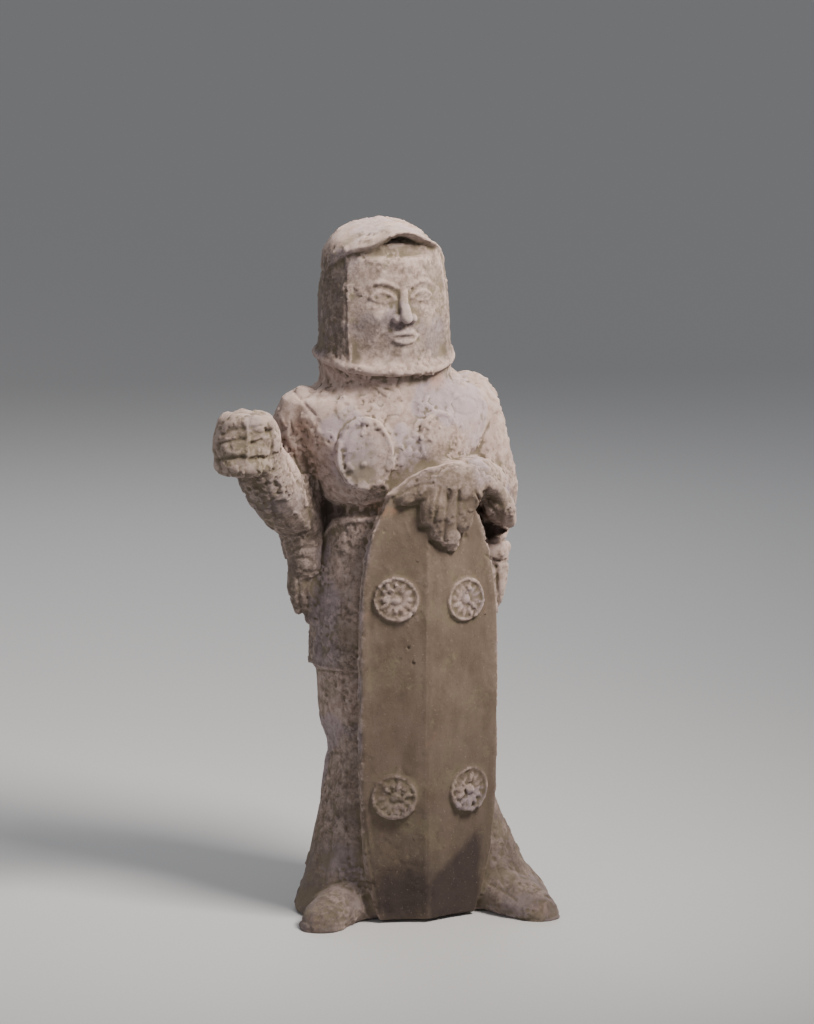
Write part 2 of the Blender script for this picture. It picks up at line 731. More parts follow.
# %% Raised arm and fist
coil(on_board([(-59, 2, 287, 17), (-61, 4, 262, 15.8), (-60, 5, 228, 13.8)]))
coil(on_board([(-61, 3, 228, 14.4), (-75, -9, 243, 16), (-88, -20, 260, 15), (-96, -27, 275, 13)]))
coil(on_board([(-61, 4, 228, 13.6), (-60, 3, 215, 12.4), (-58.5, 2, 203, 9.5)]))
pat(spot(-104.5, -33, 281.5), (17, 14, 17.8))
pat(spot(-109, -35, 281), (11.5, 12, 17))
pat(spot(-96, -29, 281), (14, 13.5, 16.5))
BENT_FINGER = (
    # across, depth and radius
    (-116.3, -31, 5.2),
    (-115.8, -37, 5.6),
    (-113, -41.4, 5.7),
    (-108.2, -43.6, 5.4),
    (-103.4, -43.8, 5.6),
    (-97, -41, 4.8),
)
for z, back, size in ((293.4, 3.2, 1.0), (286.0, 1.6, 0.86), (278.6, 0, 0.98), (270.0, 0.6, 1.04)):
    coil(on_board([(x + back, y, z - 0.2 * step, r * size) for step, (x, y, r) in enumerate(BENT_FINGER)]))
coil(on_board([(-92, -33, 271, 6), (-91, -36, 281, 5.4), (-94, -37, 289, 5.2), (-99, -37, 293, 4.8)]))
print("clay forms with the raised arm:", len(clay_forms))

# %% Shield arm and hand
coil(on_board([(38, 2, 290, 17.5), (45, 1, 264, 17), (51.5, -2, 238, 14.6), (49, -2, 212, 10)]))
coil(on_board([(48, -10, 243, 11), (38, -26, 250, 11.2), (26, -40, 255, 12)]))
pat(seen(457, 484, -9.0), (17.5, 10.5, 12.5))
pat(seen(424, 486, -8.0), (17, 8.0, 8.0), (0, -28, 0))
pat(seen(446, 506, -7.6), (15, 7.6, 23))
FINGERS = (
    ((434, 486, -6.0, 5.4), (430, 504, -5.2, 5.2), (428, 518, -4.4, 4.6)),
    ((444, 488, -6.0, 5.4), (440, 512, -5.2, 5.2), (438, 534, -4.4, 4.6)),
    ((455, 490, -6.0, 5.4), (452, 518, -5.2, 5.2), (451, 544, -4.4, 4.6)),
    ((466, 492, -6.0, 5.4), (464, 510, -5.2, 5.2), (463, 524, -4.4, 4.6)),
)
for rows in FINGERS:
    coil(in_sight(rows))
coil(in_sight([(436, 482, -3.6, 4.0), (424, 488, -2.8, 3.4), (408, 496, -2.2, 2.8), (394, 504, -1.6, 2.0)]))
coil(in_sight([(430, 473, -3.4, 3.4), (414, 481, -2.6, 2.8), (398, 491, -1.8, 2.0)]))
print("clay forms with the hands:", len(clay_forms))

# %% [markdown]
# ## Sleeves
# A wide sleeve hangs from each elbow. It is gathered in a knot and falls in two folds that end in a point. The
# shield arm's sleeve also has a thick fold along its upper edge and a coil across its knot.

# %% Sleeves
UPPER_EDGE = (
    (484, 482, -2.5, 4.0),
    (493, 487, -2.0, 4.4),
    (501, 497, -2.0, 4.8),
    (507, 509, -2.5, 5.0),
    (509, 521, -3.0, 4.2),
)
coil(in_sight(UPPER_EDGE))
for x, y, top, length, side in ((-59, 3, 205, 36, -1), (49, -7, 205, 42, 1)):
    pat(spot(x, y, top + 1), (10, 10, 9))
    for half in (-1, 1):
        reach = 0.8 if half * side > 0 else 0.95
        fold_x = x + half * 3.8
        tip = (x + half * 2.6 - side, y + 1, top - length * reach, 3.6)
        coil(on_board([(fold_x, y, top, 5.8), (fold_x, y, top - length * 0.45, 5.6), tip]))
coil(on_board([(45, -11, 208, 3.8), (51, -11, 207.5, 4.4), (57, -6, 207, 4.4)]))
print("clay forms with the sleeves:", len(clay_forms))

# %% [markdown]
# ## Dress
# The tunic hangs to the thighs, and the trousers are tied under each knee and flare to the ground. The hem and
# the two ties are thin rings of clay, and one more coil edges the tunic's top under the waist. The shoes that
# stick out below are a thick coil and a pat each.

# %% Hem, knee ties, top of the tunic and shoes
RING_STEPS = 28
FULLNESS = 0.87          # below 1, a ring is fuller than an oval


def around(middle_x, half_width, front, back, z, radius):
    """A ring round a form, with its own depth in front and behind."""
    ring = []
    for step in range(RING_STEPS):
        angle = 2 * math.pi * step / RING_STEPS
        c, s = math.cos(angle), math.sin(angle)
        x = middle_x + half_width * math.copysign(abs(c) ** FULLNESS, c)
        y = (front if s < 0 else back) * math.copysign(abs(s) ** FULLNESS, s)
        ring.append((spot(x, y, z), radius))
    coil(ring, closed=True)


around(-4, 50.4, 34.4, 34.4, 145.5, 1.0)
for knee_x in (-27.5, 25):
    around(knee_x, 15.6, 24.6, 23.6, 96, 1.4)
TUNIC_TOP = (
    (322, 548, -0.9, 1.6),
    (325, 536, -0.8, 1.8),
    (332, 526, -0.8, 2.0),
    (345, 521, -0.8, 2.0),
    (360, 520, -0.8, 2.0),
    (374, 519, -0.8, 1.8),
)
coil(in_sight(TUNIC_TOP))
coil(on_board([(-38, -8, 12, 14.5), (-46, -23, 9, 13.5), (-60, -34.5, 3.5, 12.5)]))
pat(spot(-60, -35, 0), (14, 13, 11.5), (0, 0, 35))
coil(on_board([(44, -14, 12, 14.5), (53, -33, 9, 13.5), (62.5, -50, 3.5, 11.5)]))
pat(spot(62.5, -50, 0), (13.6, 12.0, 11.5), (0, 0, -30))
print("clay forms in all:", len(clay_forms))

# %% [markdown]
# ## One skin
# All the coils and pats still lie over one another like separate lumps. They are joined to the body, and a voxel
# remesh lays one even skin over the outside of the whole, just as a potter's wet fingers close every seam. A cut
# just above the board first gives the lumps a row of corners there.

# %% Join everything and lay the skin
CUT_HEIGHT = 0.1 * MM
SKIN_CELL = 0.75 * MM
bpy.ops.object.select_all(action="DESELECT")
for form in clay_forms:
    form.select_set(True)
body.select_set(True)
bpy.context.view_layer.objects.active = body
bpy.ops.object.join()
alone(body)
bpy.ops.object.mode_set(mode="EDIT")
bpy.ops.mesh.select_all(action="SELECT")
bpy.ops.mesh.bisect(plane_co=(0, 0, CUT_HEIGHT), plane_no=(0, 0, -1))
bpy.ops.object.mode_set(mode="OBJECT")
applied(body, "REMESH", mode="VOXEL", voxel_size=SKIN_CELL)
applied(body, "SMOOTH", factor=0.5, iterations=2)
for corner in body.data.vertices:
    corner.co.z = max(0.0, corner.co.z)
print("skin:", len(body.data.vertices), "corners")

# %% [markdown]
# ## Carving
# The maker drew seams, folds and finger grooves with a pointed stick, and left beads of clay beside them. Here a
# stroke is a line of picture spots with a depth and a width. Each corner of the skin that the camera sees close
# to a stroke is pressed in along its normal, or raised where the depth is below zero. Deeper hollows, between
# arm and body and in the sleeve's mouth, are cavities: outlines in the picture that are pushed back as a whole.

# %% The skin as numbers
def corner_places():
    """The skin's corners as rows of x, y and z on the board, in millimetres."""
    flat = np.empty(len(body.data.vertices) * 3, np.float32)
    body.data.vertices.foreach_get("co", flat)
    return (flat.reshape(-1, 3).astype(float) - np.array(BOARD)) / MM


def corner_normals():
    """The skin's normals at its corners."""
    flat = np.empty(len(body.data.vertices) * 3, np.float32)
    body.data.vertex_normals.foreach_get("vector", flat)
    return flat.reshape(-1, 3).astype(float)


def put_back(places):
    """Moves the skin's corners to places on the board."""
    body.data.vertices.foreach_set("co", (places * MM + np.array(BOARD)).astype(np.float32).ravel())
    body.data.update()


def pictured(places):
    """Where the camera sees places, as across, down and distance."""
    from_camera = places * MM + np.array(BOARD - camera.location)
    far = -from_camera @ np.array(to_camera)
    across = PICTURE_WIDTH / 2 + from_camera @ np.array(side_way) / far * LENS / FILM_PER_DOT
    down = PICTURE_HEIGHT / 2 - from_camera @ np.array(up_way) / far * LENS / FILM_PER_DOT
    return across, down, far


SQUARES_IN_ROW = 1000


def in_view(across, down, far, cell=2.5, depth=7.0):
    """True for corners that nothing nearer hides, judged by the nearest in each small square of the picture."""
    key = (np.floor(down / cell) * SQUARES_IN_ROW + np.floor(across / cell)).astype(int)
    nearest = np.full(key.max() + 1, np.inf)
    np.minimum.at(nearest, key, far)
    return far < nearest[key] + depth * MM


def away(px, py, line):
    """Distance of points from a line of spots."""
    best = np.full(len(px), np.inf)
    for (x0, y0), (x1, y1) in zip(line, line[1:]):
        length = (x1 - x0) ** 2 + (y1 - y0) ** 2
        t = np.clip(((px - x0) * (x1 - x0) + (py - y0) * (y1 - y0)) / max(length, 1e-9), 0, 1)
        best = np.minimum(best, np.hypot(px - x0 - t * (x1 - x0), py - y0 - t * (y1 - y0)))
    return best


def carve(places, normals, px, py, shown, strokes):
    """Presses strokes into the shown corners, each with its depth, half width and spots."""
    for depth, width, *flat in strokes:
        xs, ys = flat[::2], flat[1::2]
        room = 3 * width
        near = shown & (px > min(xs) - room) & (px < max(xs) + room)
        rows = np.nonzero(near & (py > min(ys) - room) & (py < max(ys) + room))[0]
        push = depth * np.exp(-((away(px[rows], py[rows], list(zip(xs, ys))) / width) ** 2))
        places[rows] -= normals[rows] * push[:, None]


# %% Strokes seen by the camera
STROKES = [
    # depth in millimetres, half width, then across and down of each spot in the picture
    # helmet and neck
    (0.5, 1.2, 372, 384, 380, 387, 390, 390),
    (0.35, 1.2, 346, 262, 346, 300, 346, 352),
    # chest
    (0.8, 1.5, 294, 392, 302, 400, 308, 408, 315, 415),
    (0.7, 1.3, 290, 420, 291, 426, 293, 432),
    (1.3, 3.6, 496, 414, 486, 434, 476, 453, 468, 461),
    (0.5, 1.3, 452, 404, 457, 398, 466, 396, 475, 400, 478, 407, 474, 413, 465, 415, 456, 412, 452, 404),
    (0.8, 1.6, 330, 490, 345, 497, 360, 500, 372, 500, 385, 496),
    (-0.8, 3.4, 402, 428, 400, 445, 404, 465),
    (-0.6, 2.6, 410, 470, 418, 460, 424, 452),
    (0.5, 1.4, 336, 444, 339, 432, 346, 423, 356, 417, 368, 416, 380, 422, 390, 434, 395, 450,
        395, 466, 390, 478),
    (2.4, 5.5, 342, 509, 358, 511, 376, 510),
    (-1.0, 2.2, 334, 490, 348, 499, 364, 503, 380, 499, 394, 494),
    # raised arm
    (1.0, 1.6, 285, 440, 293, 454, 300, 470, 306, 486, 309, 502, 312, 530),
    (0.8, 1.4, 278, 541, 288, 537, 300, 534, 311, 531),
    (0.7, 1.3, 292, 552, 302, 547, 313, 546),
    (0.7, 1.3, 286, 561, 297, 557, 308, 558, 316, 563),
    (0.8, 1.4, 298, 568, 308, 573, 318, 570),
    (1.3, 1.7, 298, 578, 299, 598, 302, 617),
    (1.0, 1.5, 307, 592, 308, 608, 306, 620),
    (0.8, 1.4, 290, 573, 291, 590, 296, 608),
    (0.5, 1.3, 262, 470, 268, 490, 276, 512),
    (-0.5, 2.0, 280, 452, 290, 478, 298, 505),
    # fist
    (0.6, 1.6, 222, 434, 232, 430, 244, 428),
    (1.3, 1.9, 220, 443, 232, 441, 244, 439),
    (1.3, 1.9, 218, 460, 230, 458, 244, 457),
    (0.7, 1.6, 249, 428, 262, 425),
    (1.4, 1.9, 249, 443, 256, 443, 262, 440),
    (1.0, 1.8, 249, 459, 262, 457),
    (-0.8, 2.4, 247, 420, 248, 440, 247, 462),
    (1.4, 2.0, 266, 429, 267, 432),
    (0.9, 1.6, 269, 424, 272, 440, 270, 456),
    # shield hand
    (1.0, 1.8, 440, 488, 437, 500, 435, 512, 434, 523),
    (1.0, 1.8, 449, 490, 447, 508, 445, 524, 444, 540),
    (1.0, 1.8, 459, 492, 458, 508, 457, 526),
    (1.8, 2.6, 420, 529, 427, 529),
    (1.6, 2.4, 431, 542, 440, 545),
    (0.9, 2.0, 449, 553, 456, 547),
    (1.8, 2.6, 459, 530, 465, 537),
    (0.9, 1.5, 415, 487, 424, 484, 433, 483),
    (0.7, 1.4, 392, 498, 404, 492, 414, 488),
    (-0.6, 1.4, 417, 497, 421, 493, 425, 490),
    (-0.5, 1.3, 403, 505, 408, 502, 413, 500),
    (0.6, 1.4, 395, 508, 410, 504, 424, 500),
    # shield
    (0.4, 1.2, 429, 620, 428, 700, 427, 780, 427, 890),
    (0.7, 1.4, 363, 812, 368, 850, 374, 885, 379, 910),
    (-0.4, 1.3, 405, 522, 408, 530, 410, 537),
    (-0.3, 1.5, 450, 640, 452, 662),
    (1.3, 1.3, 408, 648, 408.5, 648.5),
    (1.3, 1.3, 413, 663, 413.5, 663.5),
    (0.4, 1.2, 425, 548, 432, 556, 430, 566),
    # right sleeve
    (1.0, 1.6, 486, 541, 497, 543, 509, 538),
    (0.9, 1.4, 486, 556, 496, 561, 509, 562),
    (1.2, 1.7, 496, 566, 497, 585, 498, 600, 501, 616),
    (1.6, 2.2, 476, 493, 480, 502, 483, 511),
    (1.0, 1.8, 484, 492, 489, 503, 497, 514),
    # dress
    (0.6, 1.3, 312, 669, 330, 672, 353, 674),
    (-0.5, 1.4, 335, 522, 350, 521, 366, 520, 376, 518),
    (0.6, 1.5, 322, 749, 335, 753, 352, 753),
    (0.5, 1.6, 337, 762, 334, 810, 329, 855, 324, 885),
    (0.5, 1.6, 347, 772, 346, 820, 350, 870),
    (-0.5, 1.6, 321, 830, 317, 858, 313, 882),
    (0.5, 1.4, 326, 700, 331, 720, 333, 742),
    (0.5, 1.4, 345, 690, 343, 715, 345, 742),
    (0.8, 1.5, 316, 893, 330, 884, 345, 880, 360, 880, 373, 884),
    (-0.6, 1.5, 350, 903, 358, 908, 370, 918),
    (0.5, 1.2, 298, 919, 312, 925, 330, 927, 346, 925),
    (0.7, 1.5, 497, 866, 501, 878, 506, 890),
    (0.8, 1.6, 490, 884, 502, 890, 516, 900),
    (0.6, 1.7, 503, 832, 512, 862, 528, 886),
    (0.5, 1.3, 492, 914, 515, 919, 540, 920, 560, 914),
    (-0.4, 1.6, 345, 600, 343, 630, 342, 655),
]
CAVITIES = [
    # depth in millimetres, outline in the picture
    (4.0, [(319, 480), (326, 497), (344, 507), (346, 516), (334, 520), (324, 532), (320, 515)]),
    (6.0, [(480, 515), (484, 522), (491, 520), (500, 524), (507, 530)]
        + [(500, 536), (491, 539), (485, 540), (482, 528)]),
    (2.5, [(478, 494), (482, 500), (484, 510), (479, 512)]),
]


def within(px, py, outline, soft=3.0):
    """1 inside an outline in the picture, falling to 0 at its border."""
    inside = np.zeros(len(px), bool)
    for (x0, y0), (x1, y1) in zip(outline, outline[1:] + outline[:1]):
        crosses = (y0 > py) != (y1 > py)
        inside ^= crosses & (px < (x1 - x0) * (py - y0) / (y1 - y0 if y1 != y0 else 1e-9) + x0)
    gap = away(px, py, outline + outline[:1])
    return np.where(inside, np.clip(0.4 + gap / soft, 0, 1), np.clip(0.4 - gap / soft, 0, 1))


places = corner_places()
normals = corner_normals()
across, down, far = pictured(places)
shown = in_view(across, down, far)
for depth, outline in CAVITIES:
    spread = within(across, down, outline) * shown
    places -= np.outer(depth * spread, np.array(to_camera))
carve(places, normals, across, down, shown, STROKES)
print("cavities:", len(CAVITIES), "strokes in view:", len(STROKES))

# %% [markdown]
# The back is hidden in the picture, so it is kept plain, as in such moulded figures: a seam down the armour and
# the tunic, a few folds, and pleats in the trousers. These strokes are placed by width and height on the board.

# %% Strokes on the back
BACK_STROKES = [
    # depth, half width, then width and height on the board of each spot
    (0.8, 1.0, -10, 300, -9, 270, -8, 246),
    (0.6, 1.0, -6, 232, -5, 190, -5, 148),
    (0.7, 1.2, -34, 228, -38, 190, -42, 150),
    (0.7, 1.2, 22, 228, 28, 190, 33, 150),
    (0.5, 1.1, -20, 200, -23, 170, -24, 150),
    (0.5, 1.1, 9, 205, 12, 175, 14, 150),
    (0.9, 1.3, -46, 300, -49, 280, -47, 262, -44, 248),
    (0.9, 1.3, 26, 300, 29, 280, 27, 262, 24, 248),
    (0.7, 1.2, -36, 90, -42, 50, -50, 8),
    (0.7, 1.2, -24, 90, -27, 50, -34, 8),
    (0.7, 1.2, 22, 90, 33, 50, 46, 8),
    (0.7, 1.2, 33, 88, 48, 50, 66, 10),
    (0.5, 1.0, -13, 396, -13, 372),
    (0.6, 1.0, -46, 368, -30, 362, -12, 360, 6, 362, 20, 368),
]
behind = (normals[:, 1] > 0.15) & (places[:, 1] > -5)
carve(places, normals, places[:, 0], places[:, 2], behind, BACK_STROKES)
print("strokes on the back:", len(BACK_STROKES))

# %% [markdown]
# ## Age
# Centuries in the ground have pitted the slip, left a crust of soil in patches and softened the edges.
# Smooth random values over space, made from a grid of fixed random numbers, say where the skin swells and
# where the crust lies. Single pits and crumbs are then set at random corners with a fixed seed.

# %% Random values over space
def mottle(points, size, seed):
    """Smooth values from 0 to 1 over space, in patches of about a size in millimetres."""
    grid = points / size + seed * 17.31
    base = np.floor(grid).astype(np.int64)
    part = grid - base
    part = part * part * (3 - 2 * part)
    total = np.zeros(len(points))
    for step in itertools.product((0, 1), repeat=3):
        x, y, z = (base + np.array(step)).T
        mixed = (x * 73856093) ^ (y * 19349663) ^ (z * 83492791) ^ (seed * 2654435761)
        mixed = ((mixed ^ (mixed >> 13)) * 1274126177) & 0xFFFFFFFF
        share = np.where(np.array(step) == 1, part, 1 - part).prod(axis=1)
        total += share * (((mixed ^ (mixed >> 16)) & 0xFFFF) / 65535.0)
    return total


def layered(points, size, seed, layers=3):
    """Several sizes of mottling, each half as wide and half as strong as the one before."""
    total, weight = np.zeros(len(points)), 0.0
    for layer in range(layers):
        total += mottle(points, size / 2**layer, seed + layer) / 2**layer
        weight += 1 / 2**layer
    return total / weight


def ramp(values, low, high):
    """Rises from 0 to 1 between two values without a corner."""
    share = np.clip((values - low) / (high - low), 0, 1)
    return share * share * (3 - 2 * share)


# %% Swelling and crust
def on_shield(points):
    """1 on the open face of the shield, 0 elsewhere, for points on the board."""
    x, y, z = points.T
    left, right, _, _ = shield_row(z)
    inside = ramp(x, left - 0.5, left + 1.0) * ramp(-x, -right - 0.5, -right + 1.0) * ramp(-z, -262, -258)
    return inside * ramp(y - shield_front(x, z), -2.4, -1.2) * ramp(shield_front(x, z) - y, -6.5, -5.0)


SHIELD_CALM, HEAD_ROUGHNESS, FACE_CALM = 0.72, 0.75, 0.6
FACE_MIDDLE_Z, FACE_REACH_X, FACE_REACH_Z = 346, 24, 26
SWELLING, LUMPS, CRUST_THICKNESS = 0.8, 0.70, 0.62
WORN_SPOTS = (
    # middle across, height, reach and strength
    (-21, 190, 11, 1.0),
    (20, 187, 11, 1.0),
    (-21.5, 76, 12, 1.0),
    (23, 77, 12, 1.0),
    (-35, 271, 17, 0.45),
    (8, 278, 13, 0.45),
    (-84, 258, 22, 1.0),
)
bare_shield = on_shield(places)
rough = (1 - SHIELD_CALM * bare_shield) * np.where(places[:, 2] > HEAD_FOOT_Z, HEAD_ROUGHNESS, 1.0)
spots = np.zeros(len(places))
for worn_x, worn_z, reach, strength in WORN_SPOTS:
    gap = ((places[:, 0] - worn_x) ** 2 + (places[:, 2] - worn_z) ** 2) / reach**2
    spots += strength * np.exp(-(gap**2))
spots *= places[:, 1] < 0
rough = np.maximum(rough, 0.8 * spots) + 0.6 * spots
face_gap = np.hypot((places[:, 0] - FACE_X) / FACE_REACH_X, (places[:, 2] - FACE_MIDDLE_Z) / FACE_REACH_Z)
rough *= 1 - FACE_CALM * ramp(-face_gap, -1.15, -0.85) * ramp(-places[:, 1], 18, 24)
crust_field = layered(places, 9.0, 3) + 0.07 * spots
crust = ramp(crust_field, 0.53, 0.58) * ramp(layered(places, 2.4, 11, 2), 0.34, 0.46)
height = SWELLING * (layered(places, 22.0, 1) - 0.5) * (1 - 0.5 * bare_shield)
height += LUMPS * (layered(places, 6.0, 5) - 0.5) * rough
height += CRUST_THICKNESS * crust * rough
places += corner_normals() * height[:, None]
print("share of the skin under crust:", round(float((crust * rough > 0.3).mean()), 3))

# %% Pits and crumbs
PITS, PIT_REACH, PIT_DEPTH = 900, (0.6, 1.5), (0.25, 0.75)
CRUMBS, CRUMB_REACH, CRUMB_HEIGHT = 2600, (0.5, 1.0), (0.25, 0.6)
dice = random.Random(20)
tree = KDTree(len(places))
for number, place in enumerate(places):
    tree.insert(place, number)
tree.balance()
marks = 0
for number in range(PITS + CRUMBS):
    middle = dice.randrange(len(places))
    reach = dice.uniform(*PIT_REACH) if number < PITS else dice.uniform(*CRUMB_REACH)
    depth = dice.uniform(*PIT_DEPTH) if number < PITS else -dice.uniform(*CRUMB_HEIGHT)
    if dice.random() < 0.85 * bare_shield[middle] - spots[middle] or (number >= PITS and crust[middle] < 0.2):
        continue
    marks += 1
    for _, near, gap in tree.find_range(places[middle], reach * 2):
        places[near] -= normals[near] * depth * math.exp(-((gap / reach) ** 2))
low_room = (np.array(CAD_BOX[0]) - np.array(BOARD)) / MM
high_room = (np.array(CAD_BOX[1]) - np.array(BOARD)) / MM
put_back(np.clip(places, low_room, high_room))
print("pits and crumbs:", marks)

# %% [markdown]
# ## Thinning
# The even skin has more corners than its flat places need. Decimate merges the ones that matter least until the
# figure is under two hundred thousand triangles, and the fine places keep theirs.

# %% Thin the skin
TRIANGLE_AIM = 192000
applied(body, "TRIANGULATE")
applied(body, "DECIMATE", ratio=TRIANGLE_AIM / len(body.data.polygons))
alone(body)
bpy.ops.object.shade_smooth()
print("thinned skin:", len(body.data.polygons), "triangles")

# %% [markdown]
# ## Where each colour lies
# The colours follow the form and the place. Slip survives on the chest, the cap and the crests, soil fills the
# hollows, earth darkens what stood lowest, and two dark stains sit low on the shield. Each of these is kept as a
# number at every corner, which the material then breaks up with finer patterns.

# %% Hollows and crests
places = corner_places()
normals = corner_normals()
edges = np.empty(len(body.data.edges) * 2, np.int32)
body.data.edges.foreach_get("vertices", edges)
edges = edges.reshape(-1, 2)
links = np.bincount(edges.ravel(), minlength=len(places)).astype(float)


def averaged(values, passes):
    """Values at the corners, averaged with their neighbours some times over."""
    for _ in range(passes):
        total = np.bincount(edges[:, 0], values[edges[:, 1]], len(values))
        total += np.bincount(edges[:, 1], values[edges[:, 0]], len(values))
        values = 0.5 * values + 0.5 * total / links
    return values


def hollowness(passes):
    """How far below its surroundings each corner lies, in millimetres."""
    smooth = np.stack([averaged(places[:, axis], passes) for axis in range(3)], axis=1)
    return ((smooth - places) * normals).sum(axis=1)


fine, broad = hollowness(4), hollowness(26)
hollow = ramp(fine, 0.03, 0.28) * 0.6 + ramp(broad, 0.15, 1.3) * 0.7
crest = ramp(-fine, 0.03, 0.25) * 0.6 + ramp(-broad, 0.25, 1.3) * 0.5
print("hollow share:", round(float(hollow.mean()), 3), "crest share:", round(float(crest.mean()), 3))

# %% Slip and the shield's tan
x, y, z = places.T
faces_front = ramp(-normals[:, 1], -0.2, 0.2)


def blot(x0, z0, rx, rz):
    """A soft spot on the figure's front, over a width and height on the board."""
    distance = np.hypot((x - x0) / rx, (z - z0) / rz)
    return np.exp(-(distance**2)) * faces_front


shield_face = on_shield(places)
under_peak = blot(-13, 386, 26, 6) * ramp(y, -36, -34)
helmet_flank = ramp(-x, 37, 50) * ramp(z, 322, 328) * ramp(-z, -384, -372)
SLIP_BY_HEIGHT = {
    # height on the board and share of slip
    0: 0.26, 60: 0.38, 140: 0.46, 200: 0.48, 230: 0.50, 250: 0.78, 300: 0.92,
    318: 0.56, 326: 0.38, 360: 0.44, 378: 0.50, 386: 0.95, 401: 1.0,
}
slip = np.interp(z, list(SLIP_BY_HEIGHT), list(SLIP_BY_HEIGHT.values()))
slip -= 0.45 * ramp(-x, 72, 90) + 0.38 * ramp(-x, 50, 60) * ramp(-z, -275, -250)
slip -= 0.34 * helmet_flank
slip += 0.3 * blot(-14, 322, 40, 3) * ramp(-y, 10, 20)
slip -= 0.4 * under_peak
slip += 0.22 * (ramp(layered(places, 30.0, 41), 0.40, 0.66) - 0.4)
slip = slip * (1 - 0.9 * shield_face) + 0.10 * shield_face * ramp(z, 150, 240)
hand = np.clip(blot(6, 247, 30, 20) * 1.7, 0, 1) * ramp(-y, 30, 37)
slip = np.clip(slip + 0.18 * crest - 0.30 * hollow - 0.60 * hand, 0, 1)
slip = slip + 0.30 * blot(56, 205, 8, 26) + 0.2 * blot(52, 215, 10, 6)
slip = slip + 0.55 * blot(-19, 185, 9, 8) + 0.3 * blot(23, 80, 9, 9) + 0.25 * blot(20, 190, 9, 10)
slip = np.clip(slip, 0, 1)
tan_places = np.maximum(shield_face, 0.85 * hand)
print("mean share of slip:", round(float(slip.mean()), 3))

# %% Lavender, stains, rust, soil and dirt
lavender = 1.1 * blot(-8, 268, 12, 18) + blot(-42, 268, 16, 20) + 0.9 * blot(14, 300, 22, 12)
low_dress = ramp(-z, -140, -20) * (1 - shield_face)
lavender += 0.9 * blot(-52, 175, 8, 45) + 0.5 * blot(40, 200, 8, 40) + 0.5 * low_dress
lavender = np.clip(lavender + 0.6 * ramp(layered(places, 26.0, 51), 0.54, 0.66), 0, 1)
left_stain = blot(-15, 16, 19, 20)
right_stain = ramp(24.6 + 0.864 * (x + 2.9) - z, -7, 11) * ramp(x, -5, 5) * ramp(-x, -37, -28)
stain = np.maximum(left_stain, 0.95 * right_stain) + 0.45 * (layered(places, 9.0, 61) - 0.5)
stain = np.clip((stain - 0.05) / 0.95, 0, 1) * ramp(z, -2, 5) * shield_face
rust = 0.9 * blot(10, 309, 10, 8) + 0.8 * blot(-66, 285, 7, 10) + 0.8 * blot(-26, 240, 14, 7)
rust += 0.7 * blot(62, 8, 16, 8) + 0.4 * blot(-52, 8, 16, 8) + 0.5 * blot(-28, 384, 12, 6)
rust = np.clip(rust + 0.5 * ramp(layered(places, 18.0, 71), 0.58, 0.72), 0, 1)
soil = 0.9 * hollow + 0.5 * ramp(layered(places, 12.0, 81), 0.54, 0.68) + 0.35 * ramp(-z, -110, -5)
soil += 0.8 * under_peak
soil += 0.6 * blot(-46, 292, 5, 8) + 0.6 * blot(-36, 258, 10, 7) + 0.5 * ramp(-x, 76, 96)
soil = np.clip(soil + 0.25 * helmet_flank, 0, 1)
crest = crest * (1 - 0.75 * tan_places) * np.interp(z, [0, 60, 250], [0.35, 0.5, 1.0])
ground_dirt = (0.30 + 0.25 * shield_face + 0.15 * ramp(x, 30, 45)) * ramp(-z, -150, -20)
soil = np.clip(soil + 0.25 * ground_dirt, 0, 1)
shade = np.zeros(len(places))
across, down, far = pictured(places)
shown = in_view(across, down, far)
for depth, outline in CAVITIES:
    shade = np.maximum(shade, within(across, down, outline, 5.0) * shown * min(1.0, depth / 5))
print("corners in the shaded cavities:", int((shade > 0.5).sum()))

# %% The numbers kept at the corners
for name, values in {
    "slip": slip,
    "shield_face": tan_places,
    "shade": shade,
    "ground_dirt": ground_dirt,
    "lavender": lavender,
    "stain": stain,
    "rust": rust,
    "soil": soil,
    "crest": np.clip(crest, 0, 1),
    "hollow": np.clip(hollow, 0, 1),
}.items():
    layer = body.data.attributes.new(name, "FLOAT", "POINT")
    layer.data.foreach_set("value", values.astype(np.float32))
    print(name, "mean", round(float(values.mean()), 3))

# %% [markdown]
# ## Fired clay with slip
# One material covers the figure. It starts as mottled buff clay, gets the shield's tan, then slip with its pink
# and lavender tints, rust, soil, the dark stains, dirt from the ground and pale worn crests, one over the other.
# Every border is broken by noise in object coordinates, so no edge of a colour is clean. A fine bump gives the
# grain.

# %% Helpers for the material
clay = bpy.data.materials.new("fired_clay_slip")
clay.use_nodes = True
tree_of_nodes = clay.node_tree
shader = tree_of_nodes.nodes["Principled BSDF"]


def give(socket, value):
    """Links a socket to another one, or sets its value."""
    if isinstance(value, bpy.types.NodeSocket):
        tree_of_nodes.links.new(value, socket)
    else:
        socket.default_value = value


def node(kind, *first, **named):
    """A node with its first inputs given in their order and others by their names."""
    made = tree_of_nodes.nodes.new(kind)
    for key, value in (*enumerate(first), *named.items()):
        give(made.inputs[key], value)
    return made


def kept(name):
    """A number that was kept at the corners."""
    made = node("ShaderNodeAttribute")
    made.attribute_name = name
    return made.outputs["Fac"]


def grain(size_mm, detail=3.0, shift=0.0, stretch=1.0):
    """Noise whose patches are about a size in millimetres, stretched upwards where stretch is above 1."""
    place = node("ShaderNodeTexCoord").outputs["Object"]
    moved = (shift, shift * 0.7, -shift)
    mapped = node("ShaderNodeMapping", Vector=place, Location=moved, Scale=(1, 1, 1 / stretch)).outputs[0]
    made = node("ShaderNodeTexNoise", Vector=mapped, Scale=1 / (size_mm * MM), Detail=detail, Roughness=0.6)
    return made.outputs[0]


